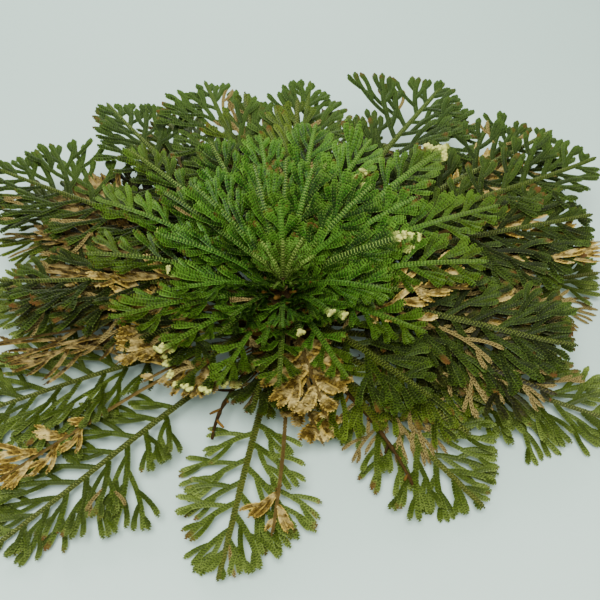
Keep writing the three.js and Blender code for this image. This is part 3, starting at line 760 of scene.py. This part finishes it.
def green_finish(name, colours, rim_share, stalk_rim, gloss=0.09, painted_back_light=0.0, older=0.0):
    """Scale leaves, deep green at the base as painted shade, with a pale edge that is partly painted
    highlight, and fresh green at the ends of fingers.

    The stalk has its own tone. The feet of fingers and branches are painted darker where they leave
    their stem, as painted shade. Dead fingers turn to straw, in painted shade at each scale's base,
    some tips are brown, and the youngest ones cream, less so in the painted shade under a knob.
    Fronds, fingers and patches differ a little, the back of the plant is painted a lighter green as
    painted light, and away from the axis the green is older. The colours are those of the painted
    shade at a scale leaf's base, its flesh and pale edge, of the tips and of the stalk.
    """
    deep, flesh, margin_and_highlight, tips, stalk = map(paint, colours.split())
    aged, new, brown, straw_in_shade, straw, cream = map(
        paint, ("424c10", "56783a", "5a3a1c", "342a10", "8c7e4a", "dde078")
    )
    leaf = Finish(name, Specular_IOR_Level=gloss)
    edge, spot, rank, tip, dry, pale, tint = leaf.read(*MARKS)
    patch = leaf.noise(55)
    fine = leaf.noise(1500, 2.0, 0.6)
    body = leaf.mix(leaf.ease(rank, 0.7, 1.0) * 0.7, flesh, stalk)
    body = leaf.mix((1 - leaf.ease(tint, 0.05, 0.6)) * 0.55, body, deep)
    # Painted shade: each scale leaf's base, where it lies under the one before, turns deep green.
    body = leaf.mix(leaf.ease(edge + (spot - 0.5) * 0.3, 0.22, 0.82), deep, body)
    # A pale margin, partly the leaf's own colour and partly painted highlight.
    rim = rim_share + rank * stalk_rim * (0.3 + 1.2 * tint)
    body = leaf.mix(leaf.ease(edge + (fine - 0.5) * 0.3, 0.74, 1.0) * rim, body, margin_and_highlight)
    # Painted shade: the feet of fingers and branches, where they crowd at their stem, turn deeper.
    inner = (1 - leaf.ease(tip, 0.05, 0.5)) * (1 - leaf.ease(rank, 0.4, 0.9))
    body = leaf.mix(inner * 0.35, body, deep)
    fresh = leaf.ease(patch + (tint - 0.5) * 0.3, 0.4, 0.75) * 0.4 + leaf.ease(tip, 0.5, 1.0) * 0.5
    body = leaf.mix(fresh * leaf.ease(edge, 0.2, 0.7) * (1 - 0.7 * rank), body, tips)
    across, back = leaf.along("X"), leaf.along("Y")
    away = across * across + (back - 0.02) * (back - 0.02)
    leafy = leaf.ease(edge, 0.1, 0.6)
    body = leaf.mix(leaf.ease(away, 0.001, 0.005) * leafy * older, body, aged)
    # Painted light: towards the back of the plant the leaves turn a lighter green.
    body = leaf.mix(leaf.ease(back, 0.03, 0.11) * leafy * painted_back_light, body, new)
    browned = leaf.ease(leaf.noise(90, 2.0, 0.6), 0.54, 0.64) * leaf.ease(tip, 0.78, 0.96)
    body = leaf.mix(browned * 0.8, body, brown)
    # Dead fingers turn to straw, with painted shade at each scale's base.
    body = leaf.mix(dry, body, leaf.mix(leaf.ease(edge, 0.2, 0.9), straw_in_shade, straw))
    # Cream, less where the edge mark is low: painted shade at a scale's base and under a knob.
    body = leaf.mix(pale * (0.45 + 0.45 * edge) * (0.6 + 0.5 * fine), body, cream)
    dull = 0.40 + 0.2 * fine + 0.3 * dry
    leaf.shade(Base_Color=body, Roughness=dull, Normal=leaf.bump(fine, 0.3, 0.00012))
    return leaf


def dry_finish(name, colours):
    """Papery dead fronds: painted shade at each scale's base, straw, and pale straw that is partly
    painted highlight, brown along a stalk.
    """
    deep, straw, pale_straw_and_highlight = map(paint, colours.split())
    shadow, stalk_brown, speckle = map(paint, ("483610", "4a3c1c", "665020"))
    paper = Finish(name, Roughness=0.8, Specular_IOR_Level=0.1)
    edge, spot, rank = paper.read("edge", "spot", "rank")
    patch = paper.noise(190, 3.0, 0.6)
    fine = paper.noise(1200, 3.0, 0.6)
    # Painted shade at each scale leaf's base, where it lies under the one before.
    colour = paper.mix(paper.ease(edge + (spot - 0.5) * 0.3, 0.0, 0.8), deep, straw)
    # Pale straw in patches, partly the dead leaf's own tone and partly painted highlight.
    colour = paper.mix(paper.ease(patch, 0.44, 0.70) * 0.7, colour, pale_straw_and_highlight)
    colour = paper.mix(paper.ease(0.0 - patch, -0.46, -0.32) * 0.6, colour, shadow)
    colour = paper.mix(paper.ease(rank, 0.7, 1.0) * 0.9, colour, stalk_brown)
    colour = paper.mix(paper.ease(fine, 0.55, 0.8) * 0.4, colour, speckle)
    paper.shade(Base_Color=colour, Normal=paper.bump(fine, 0.5, 0.0003))
    return paper


# What sets a withered frond apart: few, broad, papery branches that have curled up.
WITHERED = {
    "branch_step": 4.6, "fork_reach": (6.0, NEVER), "fork_step": 5.0, "club": 0.75, "stalk": 0.95,
    "pitch": 1.5, "raised": 1.2, "top_light": 0.3, "curl": 0.12, "louvre": 0.15, "shrunk": 0.0,
    "uneven": 0.35, "lost_share": 0.14,
}
LIMB_SHARE = 1.15  # how much wider a withered branch is than its fingers
dry_paper = dry_finish("dry_frond", "3e2e0a b0963f d4c078")
dry_brown = dry_finish("dry_brown", "1e1606 6e5c28 a8945a")


def frond_pieces(tier, finish, slot, first_number):
    """Every frond of a tier, each one mesh that stands for its own node. Its number sets its draws."""
    for k, (heading, reach) in enumerate(tier["fronds"]):
        number, name = first_number + k, f"{tier['name']}_{k + 1}"
        own_tier, own_finish = tier, finish
        if number in tier["withered"]:
            ribbon, lost, own_finish = tier["withered"][number]
            ribbons = {"finger": ribbon, "limb": LIMB_SHARE * ribbon, "lost_share": lost}
            own_tier = tier | WITHERED | ribbons
        frond = Frond(own_tier, number, heading, reach)
        grown(f"{name}_clad", [clad(frond)], own_finish, slot, name)


# A tier is told by what its fronds share, in millimetres and degrees. Its stalks go from root to
# tip_height, which lies higher towards the back by back_lift and, short of the span, by droop. They
# leave the stock at an angle of rise and end at settle; stir is how much they differ. The blade is
# rolled and arched. Past the bare share branches leave every branch_step, at angles from the first
# to the last of spread, bend by sway, lean by louvre and curl; some are lost, and all are uneven.
# A stem longer than fork_reach forks from fork_start on, every fork_step, into fingers that open
# and straighten again. Finger, limb and stalk are half widths, and club is how much wider an end
# is. Scale leaves are a pitch apart, staggered, raised and lit. Then come the dead, cream, rolled
# up and fringed ones, the withered ones with their half width, lost share and finish, and each
# frond's heading and reach.
OUTER = {
    "name": "outer_frond",
    "root": 9, "tip_height": 4.8, "back_lift": 1.5, "span": 132, "droop": 9,
    "rise": 11, "settle": -4, "stir": 0.4, "roll": 6, "arch": -0.002,
    "half_width": 21, "bare": 0.32, "branch_step": 4.5, "spread": (60, 27),
    "sway": 0.4, "louvre": 0.0, "curl": 0.0, "sunk": -0.3, "lost_share": 0.03, "uneven": 0.24,
    "fork_reach": (5.0, 14.0), "fork_start": (0.18, 0.42), "fork_step": 5.4, "open": 0.64,
    "straighten": 0.85, "finger": 1.02, "limb": 1.2, "stalk": 1.65, "club": 1.3,
    "pitch": SCALE_PITCH, "stagger": 0.5, "raised": 1.0, "top_light": 1.0,
    "dead_share": 0.02, "shrunk": 0.35, "cream_share": 0.0, "rolled_up": 0.0,
    "fringed": (), "withered": {},
    "fronds": [
        (-17, 134), (16, 140), (48, 146), (80, 126), (110, 128), (140, 136),
        (168, 130), (-164, 132), (-136, 138), (-102, 108), (-46, 106),
    ],
}
outer_green = green_finish(
    "outer_green", "26320a 3e5010 a8b466 7c8e42 443e12", 0.46, -0.2, painted_back_light=0.2
)
frond_pieces(OUTER, outer_green, "outer_frond", 56)

# ----------------------------------------
# Lower fronds: ten more old fronds, held a little above the outer ones and between them. Two on the
# left have withered. Each is a stalk with forked branches clad in scale leaves, like the outer ones.
# ----------------------------------------

LOWER = OUTER | {
    "name": "lower_frond",
    "root": 16.3, "tip_height": 16, "back_lift": 9, "span": 125, "droop": 18,
    "rise": 25, "settle": -6, "stir": 1.5, "roll": 7,
    "half_width": 20, "bare": 0.28, "branch_step": 4.6, "spread": (58, 26), "dead_share": 0.09,
    "withered": {51: (0.9, 0.6, dry_brown), 52: (1.5, 0.3, dry_paper)},
    "fronds": [
        (2, 118), (40, 138), (78, 124), (114, 130), (150, 138),
        (-174, 112), (-147, 62), (-96, 48), (-54, 64), (-30, 86),
    ],
}
lower_green = green_finish(
    "lower_green", "181e04 384a0e a4b05c 627622 444414", 0.62, -0.35, painted_back_light=0.15
)
frond_pieces(LOWER, lower_green, "lower_frond", 46)

# ----------------------------------------
# Old fronds between the tiers: more of the same, half of them dead, that fill the dim room under
# the middle fronds. Those just under them are painted darker, as painted shade. They grow from the
# stock like the others, a little lower or higher.
# ----------------------------------------


def spread_over(count, first, last, reach_at):
    """Headings in even steps from a first to a last one, each with its reach by a rule."""
    headings = np.linspace(first, last, count)
    return [(heading, reach_at(math.radians(heading))) for heading in headings]


BETWEEN = LOWER | {
    "name": "old_fronds_between",
    "root": 20.3, "tip_height": 22, "back_lift": 10, "rise": 30, "settle": -3, "stir": 2.5,
    "half_width": 18, "bare": 0.22, "lost_share": 0.08, "uneven": 0.3, "pitch": 1.5, "dead_share": 0.24,
    "fronds": spread_over(12, -22, 176, lambda turn: 96 + 14 * math.cos(turn) ** 2),
}
UNDER = BETWEEN | {
    "name": "old_fronds_under",
    "root": 12.6, "tip_height": 10, "back_lift": 5, "rise": 18, "settle": -4, "stir": 1.5,
    "lost_share": 0.14, "dead_share": 0.35,
    "fronds": spread_over(9, -36, 152, lambda turn: 74 + 18 * math.cos(turn) ** 2),
}


def one_piece(tier, finish, slot, first_number, *nodes):
    """All fronds of a tier as one piece, which stands for the nodes if it has any."""
    bodies = [clad(Frond(tier, first_number + k, *frond)) for k, frond in enumerate(tier["fronds"])]
    name = f"{tier['name']}_clad" if nodes else tier["name"]
    grown(name, bodies, finish, slot, *nodes)


# A darker copy of the lower fronds' green: painted shade for the old fronds under the middle ones.
shaded_green = green_finish("shaded_green", "0c0c00 242a08 76743a 3c4616 302a0a", 0.45, 0.0)
one_piece(BETWEEN, shaded_green, "lower_frond", 70)
one_piece(UNDER, lower_green, "lower_frond", 90)

# ----------------------------------------
# Middle fronds: fourteen full-grown fronds that spread out under the bright crown, two shorter
# ones behind them that curl up, and one more that reaches far out to the right.
# ----------------------------------------

MIDDLE = OUTER | {
    "name": "middle_frond",
    "root": 24.3, "tip_height": 33, "back_lift": 13, "span": 130, "droop": 14,
    "rise": 37, "settle": 2, "stir": 2.2, "roll": 8, "arch": -0.001,
    "half_width": 19, "bare": 0.26, "branch_step": 4.8, "spread": (56, 26),
    "fork_step": 6.0, "open": 0.66, "finger": 1.12, "stalk": 1.6, "club": 1.5, "raised": 1.1,
    "dead_share": 0.026, "fringed": (42,), "withered": {44: (1.8, 0.1, dry_paper)},
    "fronds": [
        (-12, 112), (18, 132), (38, 150), (60, 138), (84, 114), (106, 120), (128, 132),
        (152, 142), (177, 110), (-156, 58), (-132, 58), (-100, 55), (-74, 58), (-44, 72),
    ],
}
UPTURNED = MIDDLE | {
    "name": "upturned_fronds",
    "root": 27.8, "tip_height": 46, "back_lift": 7, "span": 100,
    "rise": 40, "settle": 42, "arch": 0.004, "half_width": 11, "dead_share": 0.12,
    "fronds": [(100, 100), (87, 91)],
}
REACHING = MIDDLE | {
    "name": "reaching_fronds",
    "root": 27.8, "tip_height": 35, "half_width": 15, "bare": 0.5,
    "fronds": [(28, 150)],
}
middle_green = green_finish(
    "middle_green", "0e1202 22320a 96a454 42581a 363e0c", 0.5, -0.2, gloss=0.06, painted_back_light=0.22
)
frond_pieces(MIDDLE, middle_green, "middle_frond", 32)
one_piece(UPTURNED, lower_green, "middle_frond", 160)
one_piece(REACHING, middle_green, "middle_frond", 165)

# ----------------------------------------
# Crown, inner and heart fronds: the young bright green rosette, with fingers close together along
# a broad stalk whose scale leaves show like the rungs of a ladder. The feet of the inner and heart
# fronds are still one bud, so each of these two groups is one piece.
# ----------------------------------------


def ring_of(count, first, reach_at):
    """Headings evenly round the crown from a first one, each with its reach by a rule."""
    headings = [first + 360 * k / count for k in range(count)]
    return [(heading, reach_at(math.radians(heading))) for heading in headings]


CROWN = OUTER | {
    "name": "crown_frond",
    "root": 31.2, "tip_height": 50, "back_lift": 10, "span": 82, "droop": 0,
    "rise": 50, "settle": 2, "stir": 2.2, "roll": 14, "arch": 0.002,
    "half_width": 8.5, "bare": 0.2, "branch_step": 3.4, "spread": (50, 30),
    "sway": 0.3, "louvre": -0.04, "curl": 0.18, "sunk": -0.7, "lost_share": 0.0, "uneven": 0.14,
    "fork_reach": (6.5, NEVER), "fork_start": (0.34, 0.4), "fork_step": 4.6, "open": 0.5,
    "straighten": 0.75, "finger": 0.98, "limb": 1.0, "stalk": 1.42, "club": 1.36,
    "stagger": 0.0, "raised": 1.45, "dead_share": 0.006, "cream_share": 0.25, "rolled_up": 4.5,
    "fronds": [
        (-1, 76), (19, 88), (39, 88), (59, 70), (78, 70), (98, 63), (118, 68), (137, 87),
        (156, 80), (179, 74), (201, 67), (221, 60), (245, 56), (270, 52), (297, 52), (329, 60),
    ],
}
YOUNG = CROWN | {
    "name": "young_fronds_between",
    "root": 33.8, "tip_height": 53, "back_lift": 9, "span": 70,
    "rise": 56, "settle": 6, "half_width": 7.5, "cream_share": 0.3,
    # Between each crown frond and the next. The first one, a whole turn on, closes the ring.
    "fronds": [
        ((first[0] + second[0]) / 2, 0.33 * (first[1] + second[1]))
        for first, second in zip(CROWN["fronds"], CROWN["fronds"][1:] + [(359, 76)])
    ],
}
INNER = CROWN | {
    "name": "inner_fronds",
    "root": 36.2, "tip_height": 56, "back_lift": 7, "span": 49,
    "rise": 63, "settle": 12, "stir": 2, "roll": 13, "arch": 0.004,
    "half_width": 7, "bare": 0.14, "spread": (38, 20), "cream_share": 0.45,
    "fronds": ring_of(11, 8, lambda turn: 36 + 12 * math.cos(turn) ** 2 + 5 * math.sin(turn)),
}
HEART = CROWN | {
    "name": "heart_fronds",
    "root": 39.2, "tip_height": 59, "back_lift": 3, "span": 24,
    "rise": 74, "settle": 40, "stir": 1.5, "roll": 5, "arch": 0.006,
    "half_width": 5, "bare": 0.1, "spread": (40, 22), "cream_share": 0.0,
    "fronds": ring_of(5, 20, lambda turn: 20 + 4 * math.cos(turn) ** 2),
}
BUD = HEART | {
    "name": "bud_leaves",
    "root": 40.4, "tip_height": 51, "span": 10, "rise": 80, "settle": 30,
    "half_width": 4.5, "branch_step": 2.0, "finger": 0.75, "limb": 0.75, "stalk": 1.1,
    "fronds": ring_of(9, 11, lambda turn: 10.5 + 3 * math.sin(3 * turn)),
}
bud_green = green_finish("bud_green", "1e1e06 427022 b0ba64 688e36 58782c", 0.5, 0.1, gloss=0.1)
crown_green = green_finish(
    "crown_green", "081202 2c5a12 aabe60 648e30 38621c", 0.54, -0.2, gloss=0.1, older=0.5
)
frond_pieces(CROWN, crown_green, "crown_frond", 16)
one_piece(YOUNG, crown_green, "crown_frond", 120)
one_piece(BUD, bud_green, "crown_frond", 140)
one_piece(INNER, crown_green, "crown_frond", 5, "inner_fronds")
one_piece(HEART, crown_green, "crown_frond", 0, "heart_fronds")

# ----------------------------------------
# Dry fronds: dead papery sprays that hang on between the green tiers. The arms of a spray leave
# the stock side by side from one woody knuckle.
# ----------------------------------------

KNUCKLE_RADII = 2.4 * np.array([0.6, 0.95, 0.9, 0.75, 0.35])
KNUCKLE_STEP = (1.4, 0.4)  # outward and up from one of its rings to the next
ARM_STEP = 7  # degrees from one arm's foot to the next
DRY = OUTER | WITHERED | {
    "back_lift": 0, "span": 1, "droop": 0, "settle": -8, "stir": 0, "roll": 0, "arch": 0.004,
    "half_width": 9, "spread": (42, 24),
}
# Root height, rise, finish, and each arm's heading, reach, tip height, bare share and the half
# width of its ribbons.
DRY_SPRAYS = [
    (20.3, 31, dry_paper, [(178, 92, 22, 0.45, 1.4), (205, 68, 25, 0.3, 1.7)]),
    (20.3, 31, dry_paper, [(-6, 100, 21.5, 0.6, 1.3), (14, 132, 26, 0.6, 1.2), (40, 128, 31, 0.6, 1.2)]),
    (12.6, 9, dry_paper, [(-92, 92, 11, 0.76, 1.1), (-75, 58, 12.5, 0.15, 2.2)]),
    (12.6, 20, dry_paper, [(-147, 124, 5.5, 0.62, 1.1)]),
    (27.6, 50, dry_paper, [(-24, 60, 41, 0.5, 1.3), (-6, 70, 43, 0.55, 1.3)]),
]


def dry_arm(spray, k, root_height, rise, middle, arm, arms):
    """One arm: a frond whose stalk sweeps from its place on the knuckle to its own heading."""
    heading, reach, tip_height, bare, ribbon = arm
    foot_heading = middle + ARM_STEP * (k - (arms - 1) / 2)
    turned = math.radians(heading - foot_heading)
    tier = DRY | {
        "root": root_height, "rise": rise, "tip_height": tip_height,
        "bare": bare, "finger": ribbon, "limb": LIMB_SHARE * ribbon,
    }
    frond = Frond(tier, 100 + 10 * spray + k, foot_heading, reach * math.cos(turned))
    frond.sweep = reach * math.sin(turned)
    frond.length = LENGTH_SLACK * math.hypot(reach - frond.foot, tip_height - root_height)
    return clad(frond)


# Tufts are slighter sprays under the crown and at the sides, where dead fronds are thickest.
DRY_TUFTS = [
    (22.5, 34, dry_paper, [(-92, 44, 22, 0.2, 1.5), (-76, 50, 24, 0.15, 1.9), (-60, 46, 23, 0.25, 1.6)]),
    (26.5, 42, dry_paper, [(172, 76, 36, 0.5, 1.4), (186, 68, 33, 0.4, 1.5), (199, 60, 29, 0.35, 1.6)]),
    (22.5, 36, dry_brown, [(148, 112, 30, 0.5, 1.2), (158, 110, 28, 0.5, 1.2), (168, 104, 25, 0.5, 1.2)]),
    (22.5, 36, dry_paper, [(24, 122, 32, 0.6, 1.2), (33, 108, 31, 0.65, 1.1)]),
]
for spray, (root_height, rise, finish, arms) in enumerate(DRY_SPRAYS + DRY_TUFTS):
    middle = sum(arm[0] for arm in arms) / len(arms)
    seat = np.interp(root_height, CROWN_HEIGHTS, CROWN_RADII) - 1
    outward, up = KNUCKLE_STEP
    rings = [out_at(middle, seat + outward * k, root_height + up * k) for k in range(len(KNUCKLE_RADII))]
    bodies = [tube(rings, KNUCKLE_RADII, 10, edge=0.1)]
    bodies += [dry_arm(spray, k, root_height, rise, middle, arm, len(arms)) for k, arm in enumerate(arms)]
    if spray < len(DRY_SPRAYS):
        name = f"dry_spray_{spray + 1}"
        grown(f"{name}_papery", bodies, finish, "dry_frond", name)
    else:
        grown(f"dry_tuft_{spray - len(DRY_SPRAYS) + 1}", bodies, finish, "dry_frond")

# ----------------------------------------
# Stage: a plain pale floor, soft light from above and a camera that looks down on the plant. None
# of it belongs to the plant, and its sizes are in metres.
# ----------------------------------------

FLOOR_SIZE = 6.0
bpy.ops.mesh.primitive_plane_add(size=FLOOR_SIZE, location=(0, 0, 0))
floor = bpy.context.object
floor.name = "floor"
surface = Finish("floor_surface", Roughness=0.7, Specular_IOR_Level=0.2)
behind, in_front, cloudy, distant = map(paint, ("a8c4b8", "bcd6c8", "c6d8ce", "f4f6f2"))
across, back = surface.along("X"), surface.along("Y")
# Painted light: the floor is darker behind the plant and lighter in front of it.
shade = surface.mix(surface.ease(0.0 - back, -0.3, 0.15), behind, in_front)
shade = surface.mix(surface.noise(6) * 0.3, shade, cloudy)
# Painted light: far off the floor turns paler, to make up for the lamps' falloff and meet the sky.
far_off = surface.ease(across * across + back * back, 0.16, 1.5)
surface.shade(Base_Color=surface.mix(far_off, shade, distant))
floor.data.materials.append(surface.material)

AIR_LIGHT, AIR_STRENGTH = (1.0, 1.0, 0.97, 1.0), 0.58
world = bpy.context.scene.world or bpy.data.worlds.new("studio")
bpy.context.scene.world = world
world.use_nodes = True
air = world.node_tree.nodes["Background"]
air.inputs["Color"].default_value = AIR_LIGHT
air.inputs["Strength"].default_value = AIR_STRENGTH


def softbox(name, place, size, power):
    """A square area lamp that looks at the plant."""
    lamp = bpy.data.lights.new(name, "AREA")
    lamp.size = size
    lamp.energy = power
    holder = bpy.data.objects.new(name, lamp)
    holder.location = place
    away = np.array(place) / np.linalg.norm(place)
    holder.rotation_euler = (math.acos(away[2]), 0, math.atan2(away[1], away[0]) + math.pi / 2)
    bpy.context.scene.collection.objects.link(holder)


softbox("key", place=(-0.03, -0.4, 0.8), size=0.35, power=14)
softbox("fill", place=(-0.1, 0.65, 0.36), size=0.5, power=6)

CAMERA_PLACE = (0.0064, -0.2653, 0.3231)
CAMERA_TILT = 42
CAMERA_FIELD = 32.6
lens = bpy.data.cameras.new("camera")
lens.angle = math.radians(CAMERA_FIELD)
camera = bpy.data.objects.new("camera", lens)
camera.location = CAMERA_PLACE
camera.rotation_euler = (math.radians(CAMERA_TILT), 0, 0)
bpy.context.scene.collection.objects.link(camera)
bpy.context.scene.camera = camera
